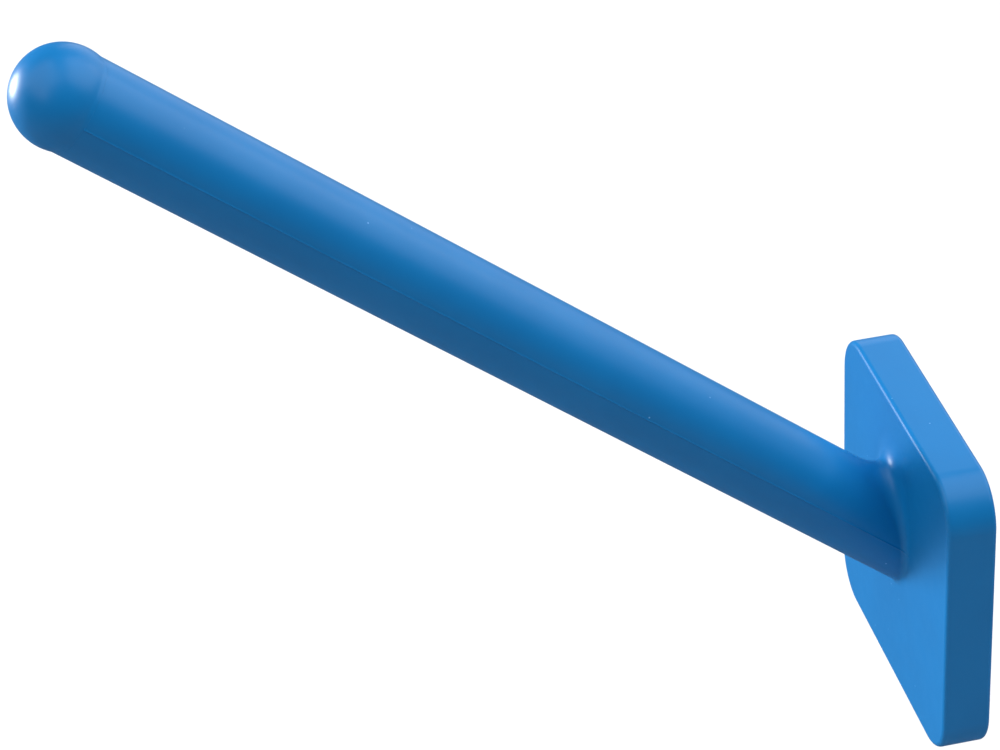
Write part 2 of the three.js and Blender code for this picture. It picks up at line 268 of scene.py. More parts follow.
class Recipe:
    """The node tree of one material."""

    MIX_FACTOR, MIX_FIRST, MIX_SECOND, MIX_RESULT = 0, 6, 7, 2

    def __init__(self, name: str) -> None:
        """Starts a material with an empty tree and Object coordinates.

        Args:
            name: The material's name.
        """
        self.material = bpy.data.materials.new(name)
        self.material.use_nodes = True
        self.tree = self.material.node_tree
        self.tree.nodes.clear()
        self.place = self.wire("ShaderNodeTexCoord", output="Object")

    def node(
        self,
        kind: str,
        settings: dict[str, object] | None = None,
        inputs: dict[str | int, object] | None = None,
    ) -> bpy.types.Node:
        """Adds a node.

        Args:
            kind: The node's type.
            settings: Its own properties, set first.
            inputs: A value or a wire for each input named.

        Returns:
            The node.
        """
        made = self.tree.nodes.new(kind)
        for key, value in (settings or {}).items():
            setattr(made, key, value)
        for key, value in (inputs or {}).items():
            if isinstance(value, Wire):
                self.tree.links.new(value.socket, made.inputs[key])
            else:
                made.inputs[key].default_value = value
        return made

    def wire(
        self,
        kind: str,
        settings: dict[str, object] | None = None,
        inputs: dict[str | int, object] | None = None,
        output: str | int = 0,
    ) -> Wire:
        """Adds a node and returns one of its outputs.

        Args:
            kind: The node's type.
            settings: Its own properties.
            inputs: A value or a wire for each input named.
            output: The output that is wanted.

        Returns:
            The output as a wire.
        """
        return Wire(self, self.node(kind, settings, inputs).outputs[output])

    def maths(self, operation: str, first: object, second: object = 0.0) -> Wire:
        """Adds a Math node.

        Args:
            operation: The node's operation.
            first: The first value or wire.
            second: The second value or wire.

        Returns:
            The result.
        """
        return self.wire("ShaderNodeMath", {"operation": operation}, {0: first, 1: second})

    def step(self, value: Wire, low: float, high: float) -> Wire:
        """Rises smoothly from 0 to 1 as a value goes from low to high.

        Args:
            value: The value that is read.
            low: Where the result leaves 0.
            high: Where the result reaches 1.

        Returns:
            The mask.
        """
        settings = {"interpolation_type": "SMOOTHSTEP"}
        return self.wire("ShaderNodeMapRange", settings, {0: value, 1: low, 2: high, 3: 0.0, 4: 1.0})

    def noise(self, size: float, detail: float = 2.0, place: Wire | None = None) -> Wire:
        """A cloudy noise whose lumps have a real size.

        Args:
            size: The size of a lump, in metres.
            detail: How many finer layers it has.
            place: The coordinates that it reads, if not the plain Object ones.

        Returns:
            The noise, from 0 to 1.
        """
        inputs = {"Vector": place or self.place, "Scale": 1 / size, "Detail": detail}
        return self.wire("ShaderNodeTexNoise", None, inputs)

    def mix(self, factor: Wire | float, first: object, second: object) -> Wire:
        """Mixes two colours.

        Args:
            factor: The share of the second colour.
            first: A colour or a wire.
            second: A colour or a wire.

        Returns:
            The mixed colour.
        """
        inputs = {self.MIX_FACTOR: factor, self.MIX_FIRST: first, self.MIX_SECOND: second}
        return self.wire("ShaderNodeMix", {"data_type": "RGBA"}, inputs, self.MIX_RESULT)

    def bump(self, height: Wire, depth: float, before: Wire | None = None) -> Wire:
        """Turns a height from 0 to 1 into a normal.

        Args:
            height: The height.
            depth: The real depth of a whole step, in metres.
            before: A normal that it is laid over.

        Returns:
            The normal.
        """
        inputs = {"Strength": 1.0, "Distance": depth, "Height": height}
        if before is not None:
            inputs["Normal"] = before
        return self.wire("ShaderNodeBump", None, inputs)

    def surface(self, **inputs: object) -> bpy.types.Material:
        """Ends the tree in a Principled surface.

        Args:
            inputs: Values or wires, by the socket's name with underscores for spaces.

        Returns:
            The finished material.
        """
        named = {key.replace("_", " "): value for key, value in inputs.items()}
        shader = self.wire("ShaderNodeBsdfPrincipled", None, named)
        self.node("ShaderNodeOutputMaterial", None, {"Surface": shader})
        return self.material


# --- Finishes ----------------------------------------------------------------------------------------


@dataclass(frozen=True)
class GlossMoulding:
    """Satin-gloss moulded plastic: soft ripple, fine grain, and a few pale nibs in the surface."""

    name: str = "blue_moulding"
    colour: Colour = (0.003, 0.148, 0.400, 1.0)
    deep_colour: Colour = (0.003, 0.141, 0.384, 1.0)
    nib_colour: Colour = (0.20, 0.46, 0.80, 1.0)
    roughness: float = 0.36
    roughness_spread: float = 0.07
    gloss: float = 0.20
    ripple_size: float = 7 * MM
    ripple_depth: float = 0.004 * MM
    grain_size: float = 0.55 * MM
    grain_depth: float = 0.0010 * MM
    nib_spacing: float = 9 * MM
    nib_reach: float = 0.035
    nib_strength: float = 0.7
    nib_depth: float = 0.006 * MM
    cloud_size: float = 26 * MM
    wear_size: float = 4 * MM

    def make(self) -> bpy.types.Material:
        """Builds the material.

        Returns:
            The material.
        """
        recipe = Recipe(self.name)
        cloud = recipe.noise(self.cloud_size, 3.0)
        colour = recipe.mix(recipe.step(cloud, 0.35, 0.65), self.colour, self.deep_colour)
        inputs = {"Vector": recipe.place, "Scale": 1 / self.nib_spacing}
        nib = recipe.wire("ShaderNodeTexVoronoi", {"feature": "F1"}, inputs, "Distance")
        nibs = 1 - recipe.step(nib, self.nib_reach * 0.4, self.nib_reach)
        colour = recipe.mix(nibs * self.nib_strength, colour, self.nib_colour)
        ripple = recipe.bump(recipe.noise(self.ripple_size, 1.0), self.ripple_depth)
        grain = recipe.bump(recipe.noise(self.grain_size, 2.0), self.grain_depth, ripple)
        normal = recipe.bump(nibs, self.nib_depth, grain)
        wear = recipe.noise(self.wear_size, 4.0)
        roughness = self.roughness + self.roughness_spread * (wear - 0.5)
        return recipe.surface(
            Base_Color=colour, Roughness=roughness, Normal=normal, Specular_IOR_Level=self.gloss
        )


@dataclass(frozen=True)
class EtchedMoulding:
    """The same plastic with the fine spark-eroded texture of a part that is seldom seen."""

    name: str = "blue_back"
    colour: Colour = (0.005, 0.148, 0.400, 1.0)
    worn_colour: Colour = (0.010, 0.175, 0.450, 1.0)
    texture_size: float = 0.35 * MM
    texture_depth: float = 0.03 * MM
    wear_size: float = 18 * MM
    roughness: float = 0.42
    roughness_spread: float = 0.2

    def make(self) -> bpy.types.Material:
        """Builds the material.

        Returns:
            The material.
        """
        recipe = Recipe(self.name)
        etch = recipe.noise(self.texture_size, 3.0)
        wear = recipe.step(recipe.noise(self.wear_size, 3.0), 0.35, 0.7)
        colour = recipe.mix(wear, self.colour, self.worn_colour)
        roughness = self.roughness + self.roughness_spread * (etch - 0.5)
        normal = recipe.bump(etch, self.texture_depth)
        return recipe.surface(Base_Color=colour, Roughness=roughness, Normal=normal, IOR=1.5)


@dataclass(frozen=True)
class GripRubber:
    """Matt rubber with a dusty bloom and a fine open grain."""

    name: str = "grip_rubber"
    colour: Colour = (0.018, 0.019, 0.022, 1.0)
    dusty_colour: Colour = (0.055, 0.056, 0.06, 1.0)
    grain_size: float = 0.5 * MM
    grain_depth: float = 0.05 * MM
    bloom_size: float = 12 * MM
    roughness: float = 0.78
    bloom_roughness: float = 0.15

    def make(self) -> bpy.types.Material:
        """Builds the material.

        Returns:
            The material.
        """
        recipe = Recipe(self.name)
        bloom = recipe.step(recipe.noise(self.bloom_size, 4.0), 0.42, 0.72)
        grain = recipe.noise(self.grain_size, 2.0)
        colour = recipe.mix(bloom, self.colour, self.dusty_colour)
        return recipe.surface(
            Base_Color=colour,
            Roughness=self.roughness + self.bloom_roughness * bloom,
            Normal=recipe.bump(grain, self.grain_depth),
            IOR=1.45,
        )


@dataclass(frozen=True)
class DrawnMetal:
    """Metal with draw lines along one direction of the part, and cloudy handling marks."""

    name: str
    colour: Colour
    dull_colour: Colour
    roughness: float
    line_size: float = 0.4 * MM
    line_stretch: float = 60.0
    line_depth: float = 0.01 * MM
    line_roughness: float = 0.12
    mark_size: float = 15 * MM
    mark_roughness: float = 0.1
    tilt: float = 0.0

    def make(self) -> bpy.types.Material:
        """Builds the material.

        Returns:
            The material.
        """
        recipe = Recipe(self.name)
        settings = {"Vector": recipe.place, "Rotation": (0.0, self.tilt, 0.0)}
        turned = recipe.wire("ShaderNodeMapping", None, settings)
        squeeze = {0: turned, 1: (1.0, 1.0, 1 / self.line_stretch)}
        along = recipe.wire("ShaderNodeVectorMath", {"operation": "MULTIPLY"}, squeeze)
        lines = recipe.noise(self.line_size, 2.0, along)
        marks = recipe.step(recipe.noise(self.mark_size, 4.0), 0.4, 0.7)
        colour = recipe.mix(marks, self.colour, self.dull_colour)
        roughness = self.roughness + self.line_roughness * lines + self.mark_roughness * marks
        normal = recipe.bump(lines, self.line_depth)
        return recipe.surface(Base_Color=colour, Metallic=1.0, Roughness=roughness, Normal=normal)


# --- The shaft's frame -------------------------------------------------------------------------------


@dataclass(frozen=True)
class ShaftFrame:
    """Where the shaft stands: z runs up its axis from the plate's front face, x to its upper side."""

    tilt: float = math.radians(39.4)
    rise: float = 5.1 * MM
    length: float = 262 * MM

    def matrix(self) -> Matrix:
        """Gives the move from the shaft's own frame to the part's."""
        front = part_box("plate_cover")[0].x
        return Matrix.Translation((front, 0.0, self.rise)) @ Matrix.Rotation(self.tilt - math.pi / 2, 4, "Y")

    def into_plate(self) -> Vector:
        """Gives the direction into the plate, in the shaft's frame."""
        return Vector((math.sin(self.tilt), 0.0, -math.cos(self.tilt)))

    def on_plate(self, radius: float, turn: float, depth: float = 0.0) -> Vector:
        """Finds where a line along the shaft meets a plane parallel to the plate's face.

        Args:
            radius: The line's distance from the axis.
            turn: Its angle round the axis.
            depth: The plane's depth behind the plate's face.

        Returns:
            The point, in the shaft's frame.
        """
        x = radius * math.cos(turn)
        height = (x * math.sin(self.tilt) - depth) / math.cos(self.tilt)
        return Vector((x, radius * math.sin(turn), height))

    def outwards(self, turn: float) -> Vector:
        """Finds the direction away from the shaft, in the plate's face, at an angle round the shaft.

        Args:
            turn: The angle round the axis.

        Returns:
            The direction, in the shaft's frame.
        """
        up = Vector((math.cos(self.tilt), 0.0, math.sin(self.tilt)))
        away = up * math.cos(turn) * math.cos(self.tilt)
        away.y = math.sin(turn)
        return away.normalized()


# --- Sub-assemblies ----------------------------------------------------------------------------------


class Half(Enum):
    """The two shells that meet on the plane through the shaft's axis."""

    UPPER = 1
    LOWER = -1


@dataclass
class Piece:
    """A finished piece and what it stands for."""

    obj: bpy.types.Object
    nodes: tuple[str, ...]
    slot: str

    def settle(self, material: bpy.types.Material) -> None:
        """Dresses the piece and puts it on the part.

        Args:
            material: The piece's finish.
        """
        self.obj.data.materials.clear()
        self.obj.data.materials.append(material)
        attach(self.obj, "root")
        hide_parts(*self.nodes)
        log.info("%s: %d faces", self.obj.name, len(self.obj.data.polygons))


@dataclass
class ShaftClothing:
    """The two half shells round the core tube, with the concave root that spreads onto the plate."""

    frame: ShaftFrame
    radius: float = 12.5 * MM
    bore: float = 9.8 * MM
    end: float = 257.79 * MM
    root_fillet: float = 6.5 * MM
    side_fillet: float = 2.8 * MM
    flange: float = 1.2 * MM
    turns: int = 128
    fillet_steps: int = 18
    ring_spacing: float = 12 * MM
    seam_gap: float = 0.012 * MM
    seam_reach: float = 0.05 * MM
    seam_ridge: float = 0.17 * MM
    ridge_width: float = 0.28 * MM
    seam_round: float = 0.03 * MM

    def _ring(self, obj: bpy.types.Object, place: Callable[[float], Vector], extrude: bool = True) -> None:
        """Extrudes the selected ring of edges and lays it where a rule says.

        Args:
            obj: The object being edited.
            place: Gives a point for each angle round the shaft.
            extrude: Whether the ring is extruded first, or only moved.
        """
        if extrude:
            bpy.ops.mesh.extrude_region()
        mesh = bmesh.from_edit_mesh(obj.data)
        turn = mesh.verts.layers.float["turn"]
        for vert in mesh.verts:
            if vert.select:
                vert.co = place(vert[turn])
        bmesh.update_edit_mesh(obj.data)

    def fillet_point(self, turn: float, share: float) -> Vector:
        """Gives a point of the root's concave blend.

        Args:
            turn: The angle round the shaft.
            share: How far along the blend, from the shaft at 0 to the plate at 1.

        Returns:
            The point, in the shaft's frame.
        """
        corner = self.frame.on_plate(self.radius, turn)
        away = self.frame.outwards(turn)
        crown = max(0.0, math.cos(turn)) ** 2
        radius = self.side_fillet + (self.root_fillet - self.side_fillet) * crown
        reach = radius / math.tan(math.acos(away.z) / 2)
        along = Vector((0.0, 0.0, reach))
        return corner + (1 - share) ** 2 * along + share**2 * reach * away

    def _whole(self) -> bpy.types.Object:
        """Models the clothing in one closed piece, before it is parted.

        Returns:
            The closed solid, in the shaft's frame.
        """
        obj = Bench.start(
            "shaft_clothing",
            bpy.ops.mesh.primitive_cylinder_add,
            vertices=self.turns,
            radius=self.radius,
            depth=self.end,
            end_fill_type="NOTHING",
            location=(0.0, 0.0, self.end / 2),
        )
        Bench.place(obj, Matrix.Identity(4))
        with Bench.editing(obj):
            mesh = bmesh.from_edit_mesh(obj.data)
            turn = mesh.verts.layers.float.new("turn")
            for vert in mesh.verts:
                vert[turn] = math.atan2(vert.co.y, vert.co.x)
            bmesh.update_edit_mesh(obj.data)
            Bench.pick(obj, Pick.EDGES, lambda e: all(v.co.z < self.end / 2 for v in e.verts))
            self._ring(obj, lambda t: self.fillet_point(t, 0.0), extrude=False)
            for step in range(1, self.fillet_steps + 1):
                share = step / self.fillet_steps
                self._ring(obj, lambda t, s=share: self.fillet_point(t, s))
            sink = self.frame.into_plate() * self.flange
            self._ring(obj, lambda t: self.fillet_point(t, 1.0) + sink)
            self._ring(obj, lambda t: self.frame.on_plate(self.bore, t, self.flange))
            self._ring(obj, self._bore_end)
            top = self.end - SAME
            Bench.pick(obj, Pick.EDGES, lambda e: e.is_boundary and all(v.co.z > top for v in e.verts))
            bpy.ops.mesh.bridge_edge_loops()
            self._add_rings(obj)
        Bench.finish(obj)
        return obj

    def _bore_end(self, turn: float) -> Vector:
        """Gives the bore's far end at an angle round the shaft."""
        return Vector((self.bore * math.cos(turn), self.bore * math.sin(turn), self.end))

    def _add_rings(self, obj: bpy.types.Object) -> None:
        """Adds rings of edges along the straight stretch, so that its faces stay compact.

        Args:
            obj: The object being edited; not used.
        """
        start = self.frame.on_plate(self.radius, 0.0).z + 3 * self.root_fillet
        count = int((self.end - start) / self.ring_spacing)
        for index in range(count):
            bpy.ops.mesh.select_all(action="SELECT")
            height = start + index * self.ring_spacing
            bpy.ops.mesh.bisect(plane_co=(0.0, 0.0, height), plane_no=(0.0, 0.0, 1.0))

    def shell(self, whole: bpy.types.Object, half: Half) -> bpy.types.Object:
        """Parts one shell from the clothing, closes its cut and rounds the seam's outer edges.

        Args:
            whole: The closed clothing.
            half: The shell that is kept.

        Returns:
            The shell, in the part's frame.
        """
        obj = Bench.copy(whole, f"shaft_{half.name.lower()}_shell_skin")
        seam = half.value * self.seam_gap / 2
        with Bench.editing(obj):
            bpy.ops.mesh.select_all(action="SELECT")
            bpy.ops.mesh.bisect(
                plane_co=(0.0, 0.0, 0.0), plane_no=(half.value, 0.0, 0.0), clear_inner=True, use_fill=True
            )
            Bench.pick(obj, Pick.VERTS, lambda v: abs(v.co.x) < self.seam_reach)
            bpy.ops.transform.translate(value=(seam, 0.0, 0.0))
            bpy.ops.mesh.select_all(action="SELECT")
            foot = half.value * self.ridge_width
            bpy.ops.mesh.bisect(plane_co=(foot, 0.0, 0.0), plane_no=(1.0, 0.0, 0.0), threshold=TIGHT)
            Bench.pick(obj, Pick.EDGES, lambda e: self._on_seam(e, seam))
            grow = 1 + self.seam_ridge / self.radius
            bpy.ops.transform.resize(value=(1.0, grow, 1.0), center_override=(0.0, 0.0, 0.0))
            bpy.ops.mesh.bevel(offset=self.seam_round, segments=3, profile=0.5, clamp_overlap=True)
        Bench.place(obj, self.frame.matrix())
        Bench.finish(obj)
        return obj

    def _on_seam(self, edge: bmesh.types.BMEdge, seam: float) -> bool:
        """Tells whether an edge is where the outer skin meets the seam.

        Args:
            edge: The edge that is tested.
            seam: The seam plane's place.

        Returns:
            True on the outer edge of the seam.
        """
        if any(abs(v.co.x - seam) > SAME for v in edge.verts) or len(edge.link_faces) != 2:
            return False
        skin = [f for f in edge.link_faces if abs(f.normal.x) < 0.9]
        if len(skin) != 1:
            return False
        middle = (edge.verts[0].co + edge.verts[1].co) / 2
        outer = math.hypot(middle.x, middle.y) > self.radius - LOOSE
        along_skin = abs(skin[0].normal.z) < 0.999 and middle.z < self.end - SAME
        return outer and along_skin and skin[0].normal.y * middle.y > 0

    def build(self) -> list[Piece]:
        """Builds both shells.

        Returns:
            The two pieces.
        """
        whole = self._whole()
        made = [
            Piece(self.shell(whole, half), (f"shaft_{half.name.lower()}_shell",), "blue_moulding")
            for half in Half
        ]
        bpy.data.objects.remove(whole)
        return made


@dataclass
class BallNose:
    """The ball with the spigot that plugs into the tube."""

    frame: ShaftFrame
    radius: float = 12.9 * MM
    collar_radius: float = 12.5 * MM
    blend: float = 6 * MM
    setback: float = 4.2 * MM
    lip: float = 0.02 * MM
    spigot_radius: float = 7.2 * MM
    spigot_length: float = 24 * MM
    spigot_chamfer: float = 1 * MM
    pin_hole: float = 1.8 * MM
    pin_depth: float = 12 * MM
    segments: int = 128
    blend_steps: int = 8

    def build(self) -> list[Piece]:
        """Builds the ball nose.

        Returns:
            The one piece.
        """
        seat = self.frame.length - self.setback
        obj = Bench.start(
            "ball_nose",
            bpy.ops.mesh.primitive_uv_sphere_add,
            segments=self.segments,
            ring_count=self.segments // 2,
            radius=self.radius,
            location=(0.0, 0.0, self.frame.length),
        )
        Bench.place(obj, Matrix.Identity(4))
        rings = self._rings(seat)
        start = (0.0, 0.0, rings[0][1])
        with Bench.editing(obj):
            bpy.ops.mesh.select_all(action="SELECT")
            bpy.ops.mesh.bisect(plane_co=start, plane_no=(0.0, 0.0, 1.0), clear_inner=True, threshold=TIGHT)
            Bench.pick(obj, Pick.EDGES, lambda e: e.is_boundary)
            for before, after in zip(rings, rings[1:]):
                self._draw_in(after[0] / before[0], after[1] - before[1])
            bpy.ops.mesh.edge_face_add()
            Bench.pick(obj, Pick.EDGES, lambda e: self._is_lip(e, seat))
            bpy.ops.mesh.bevel(offset=self.lip, segments=4, profile=0.5)
        Bench.cut(obj, self._pin_tool(seat))
        Bench.place(obj, self.frame.matrix())
        Bench.finish(obj)
        return [Piece(obj, ("ball_end",), "blue_moulding")]

    def _rings(self, seat: float) -> list[tuple[float, float]]:
        """Gives the rings below the ball: the hollow blend, the collar and the spigot.

        Args:
            seat: The height where the ball sits on the shaft.

        Returns:
            Each ring's radius and height, from the ball downwards.
        """
        hollow = self.collar_radius + self.blend
        angle = math.acos(hollow / (self.radius + self.blend))
        middle = self.frame.length - (self.radius + self.blend) * math.sin(angle)
        turns = [angle * (1 - step / self.blend_steps) for step in range(self.blend_steps + 1)]
        rings = [(hollow - self.blend * math.cos(t), middle + self.blend * math.sin(t)) for t in turns]
        foot = seat - self.spigot_length
        return rings + [
            (self.collar_radius, seat),
            (self.spigot_radius, seat),
            (self.spigot_radius, foot + self.spigot_chamfer),
            (self.spigot_radius - self.spigot_chamfer, foot),
        ]

    def _is_lip(self, edge: bmesh.types.BMEdge, seat: float) -> bool:
        """Tells whether an edge is on the collar's rim, where it meets the shaft."""
        reach = self.collar_radius - self.lip
        return all(abs(v.co.z - seat) < SAME and v.co.xy.length > reach for v in edge.verts)

    def _pin_tool(self, seat: float) -> bpy.types.Object:
        """Adds the tool for the retaining pin's hole across the spigot.

        Args:
            seat: The height where the ball sits on the shaft.

        Returns:
            The tool, in the shaft's frame.
        """
        tool = Bench.start(
            "pin_hole",
            bpy.ops.mesh.primitive_cylinder_add,
            vertices=32,
            radius=self.pin_hole,
            depth=4 * self.spigot_radius,
            location=(0.0, 0.0, seat - self.pin_depth),
            rotation=(math.pi / 2, 0.0, 0.0),
        )
        Bench.place(tool, Matrix.Identity(4))
        return tool

    @staticmethod
    def _draw_in(scale: float, rise: float) -> None:
        """Extrudes the selected ring, scales it about the axis and moves it along it.

        Args:
            scale: The new radius over the old one.
            rise: How far the ring moves along the axis.
        """
        bpy.ops.mesh.extrude_region()
        bpy.ops.transform.resize(value=(scale, scale, 1.0), center_override=(0.0, 0.0, 0.0))
        bpy.ops.transform.translate(value=(0.0, 0.0, rise))


@dataclass
class BasePlate:
    """The plate's two covers, with its screws and the grip pad."""

    frame: ShaftFrame
    clothing: ShaftClothing
    corner: float = 13 * MM
    edge: float = 1.4 * MM
    wall: float = 3 * MM
    front_wall: float = 3.2 * MM
    corner_steps: int = 18
    edge_steps: int = 6
    fit: float = 0.01 * MM
    tube_room: float = 9.8 * MM
    screw_spacing: float = 62 * MM
    post_radius: float = 4 * MM
    post_bore: float = 1.6 * MM
    post_depth: float = 7.6 * MM
    cover_edge: float = 0.4 * MM
    cover_fit: float = 0.2 * MM
    hole_radius: float = 1.8 * MM
    sink_radius: float = 3.25 * MM
    sink_depth: float = 0.5 * MM
    beyond: float = 1 * MM
    pad_recess: float = 1.2 * MM
    pad_radius: float = 29 * MM
    pad_fit: float = 0.15 * MM
    pad_edge: float = 0.45 * MM
    pad_rings: int = 7
    pad_land: float = 2.3 * MM
    groove_side: float = 0.35 * MM
    groove_floor: float = 0.5 * MM
    groove_depth: float = 0.45 * MM
    shank_radius: float = 1.5 * MM
    head_radius: float = 3.05 * MM
    head_height: float = 1.7 * MM
    head_edge: float = 0.15 * MM
    tip_inset: float = 0.5 * MM
    thread_end: float = 2.2 * MM
    thread_pitch: float = 0.9 * MM
    thread_valley: float = 0.8
    socket_radius: float = 1.15 * MM
    socket_depth: float = 1.1 * MM

    def _block(self, name: str, low: Vector, high: Vector, corner: float, edge: float) -> bpy.types.Object:
        """Models a rounded square block.

        Args:
            name: The object's name.
            low: Its lowest corner.
            high: Its highest corner.
            corner: The radius of its four corners, seen from the front.
            edge: The radius of its front and rear rims.

        Returns:
            The block.
        """
        obj = Bench.start(name, bpy.ops.mesh.primitive_cube_add, size=1.0, location=(low + high) / 2)
        obj.scale = high - low
        Bench.place(obj, Matrix.Identity(4))
        with Bench.editing(obj):
            Bench.pick(obj, Pick.EDGES, lambda e: abs(e.verts[0].co.x - e.verts[1].co.x) > SAME)
            bpy.ops.mesh.bevel(offset=corner, segments=self.corner_steps, profile=0.5)
            Bench.pick(obj, Pick.EDGES, lambda e: abs(e.verts[0].co.x - e.verts[1].co.x) < TIGHT)
            bpy.ops.mesh.bevel(offset=edge, segments=self.edge_steps, profile=0.5)
        return obj

    def _bar(self, name: str, radius: float, low: float, high: float, turns: int = 64) -> bpy.types.Object:
        """Adds a round cutting tool along X.

        Args:
            name: The object's name.
            radius: Its radius.
            low: Its lowest X.
            high: Its highest X.
            turns: How many sides it has.

        Returns:
            The tool.
        """
        obj = Bench.start(
            name,
            bpy.ops.mesh.primitive_cylinder_add,
            vertices=turns,
            radius=radius,
            depth=high - low,
            location=((low + high) / 2, 0.0, 0.0),
            rotation=(0.0, math.pi / 2, 0.0),
        )
        Bench.place(obj, Matrix.Identity(4))
        return obj

    def _screw_places(self) -> list[Vector]:
        """Gives the four screws' places, in the order of their names.

        Returns:
            A place on the plate for each screw.
        """
        reach = self.screw_spacing / 2
        corners = [(-reach, -reach), (reach, -reach), (reach, reach), (-reach, reach)]
        return [Vector((0.0, y, z)) for y, z in corners]

    def _four(self, tool: bpy.types.Object) -> bpy.types.Object:
        """Repeats a tool at the four screws and joins the copies.

        Args:
            tool: The tool, on the X axis.

        Returns:
            The four in one object.
        """
        copies = []
        for place in self._screw_places():
            made = Bench.copy(tool, "copy")
            Bench.place(made, Matrix.Translation(place))
            copies.append(made)
        bpy.data.objects.remove(tool)
        Bench.take(copies[0])
        for made in copies:
            made.select_set(True)
        bpy.ops.object.join()
        return bpy.context.view_layer.objects.active

    def _flange_seat(self) -> bpy.types.Object:
        """Models the tool that sinks the shells' root flange into the plate's face.

        Returns:
            The cutting tool.
        """
        clothing = self.clothing
        sunk = clothing.flange + self.fit
        tool = Bench.start(
            "flange_seat",
            bpy.ops.mesh.primitive_circle_add,
            vertices=clothing.turns,
            radius=clothing.radius,
            fill_type="NGON",
        )
        into = self.frame.into_plate()
        with Bench.editing(tool):
            mesh = bmesh.from_edit_mesh(tool.data)
            for vert in mesh.verts:
                turn = math.atan2(vert.co.y, vert.co.x)
                rim = clothing.fillet_point(turn, 1.0) + self.fit * self.frame.outwards(turn)
                vert.co = rim - into * sunk
            bmesh.update_edit_mesh(tool.data)
            bpy.ops.mesh.select_all(action="SELECT")
            bpy.ops.mesh.extrude_region()
            bpy.ops.transform.translate(value=into * 2 * sunk)
            bpy.ops.mesh.select_all(action="SELECT")
            bpy.ops.mesh.normals_make_consistent(inside=False)
        Bench.place(tool, self.frame.matrix())
        return tool

    def front(self) -> Piece:
        """Models the front cover: a tray with posts, the flange seat and the tube's hole.

        Returns:
            The piece.
        """
        low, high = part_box("plate_cover")
        obj = self._block("plate_cover_skin", low, high, self.corner, self.edge)
        floor = low.x + self.front_wall
        with Bench.editing(obj):
            Bench.pick(obj, Pick.FACES, lambda f: f.normal.x > 0.999 and len(f.verts) > 4)
            bpy.ops.mesh.inset(thickness=self.wall - self.edge, depth=0.0)
            bpy.ops.mesh.extrude_region()
            bpy.ops.transform.translate(value=(floor - high.x, 0.0, 0.0))
        insert_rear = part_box("plate_insert")[1].x
        posts = self._four(self._bar("post", self.post_radius, floor - self.wall / 2, insert_rear, 32))
        Bench.cut(obj, posts, "UNION")
        holes = self._bar("post_hole", self.post_bore, insert_rear - self.post_depth, high.x, 32)
        Bench.cut(obj, self._four(holes))
        room = self._bar("tube_room", self.tube_room, -3 * self.corner, 3 * self.corner)
        Bench.place(room, self.frame.matrix() @ Matrix.Rotation(-math.pi / 2, 4, "Y"))
        Bench.cut(obj, room)
        Bench.cut(obj, self._flange_seat())
        Bench.finish(obj)
        return Piece(obj, ("plate_cover",), "blue_moulding")

    def back(self) -> Piece:
        """Models the rear cover with its recess and countersunk holes.

        Returns:
            The piece.
        """
        low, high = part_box("back_cover")
        grow = Vector((0.0, self.cover_fit, self.cover_fit))
        corner = self.corner - self.wall
        obj = self._block("back_cover_plate", low - grow, high + grow, corner, self.cover_edge)
        room = self.pad_radius + self.pad_fit
        Bench.cut(obj, self._bar("recess", room, high.x - self.pad_recess, high.x + self.beyond, 128))
        hole = self._bar("screw_hole", self.hole_radius, low.x - self.beyond, high.x + self.beyond, 32)
        with Bench.editing(hole):
            sink = high.x - self.sink_depth
            for level in (sink - self.head_height, sink):
                self._ring_at(level)
            Bench.pick(hole, Pick.VERTS, lambda v: v.co.x > sink - SAME)
            self._widen(self.sink_radius / self.hole_radius)
        Bench.cut(obj, self._four(hole))
        Bench.finish(obj)
        return Piece(obj, ("back_cover",), "blue_back")

    def pad(self) -> Piece:
        """Models the grip pad with its rounded rim and ring grooves.

        Returns:
            The piece.
        """
        low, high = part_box("grip_pad")
        obj = self._bar("grip_pad_disc", self.pad_radius, low.x, high.x, 160)
        with Bench.editing(obj):
            Bench.pick(obj, Pick.EDGES, lambda e: all(v.co.x > high.x - SAME for v in e.verts))
            bpy.ops.mesh.bevel(offset=self.pad_edge, segments=4, profile=0.5)
            Bench.pick(obj, Pick.FACES, lambda f: f.normal.x > 0.999)
            for _ in range(self.pad_rings):
                bpy.ops.mesh.inset(thickness=self.pad_land, depth=0.0)
                bpy.ops.mesh.inset(thickness=self.groove_side, depth=-self.groove_depth)
                bpy.ops.mesh.inset(thickness=self.groove_floor, depth=0.0)
                bpy.ops.mesh.inset(thickness=self.groove_side, depth=self.groove_depth)
        Bench.finish(obj)
        return Piece(obj, ("grip_pad",), "grip_rubber")

    def screws(self) -> list[Piece]:
        """Models one countersunk screw and copies it to the four places.

        Returns:
            The four pieces.
        """
        low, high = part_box("cover_screw_1")
        head = high.x
        obj = self._bar("screw", self.shank_radius, low.x, head, 48)
        with Bench.editing(obj):
            self._ring_at(head - self.head_height)
            Bench.pick(obj, Pick.VERTS, lambda v: v.co.x > head - SAME)
            self._widen(self.head_radius / self.shank_radius)
            Bench.pick(obj, Pick.EDGES, lambda e: all(v.co.x > head - SAME for v in e.verts))
            bpy.ops.mesh.bevel(offset=self.head_edge, segments=3, profile=0.5)
            Bench.pick(obj, Pick.FACES, lambda f: f.normal.x < -0.999)
            bpy.ops.mesh.inset(thickness=self.tip_inset, depth=0.0)
        self._cut_threads(obj, low.x, head - self.thread_end)
        socket = self._bar("socket", self.socket_radius, head - self.socket_depth, head + self.beyond, 6)
        Bench.cut(obj, socket)
        made = []
        for index, place in enumerate(self._screw_places(), start=1):
            screw = Bench.copy(obj, f"cover_screw_{index}_turned")
            Bench.place(screw, Matrix.Translation(place))
            Bench.finish(screw, 30.0)
            made.append(Piece(screw, (f"cover_screw_{index}",), "plated_steel"))
        bpy.data.objects.remove(obj)
        return made

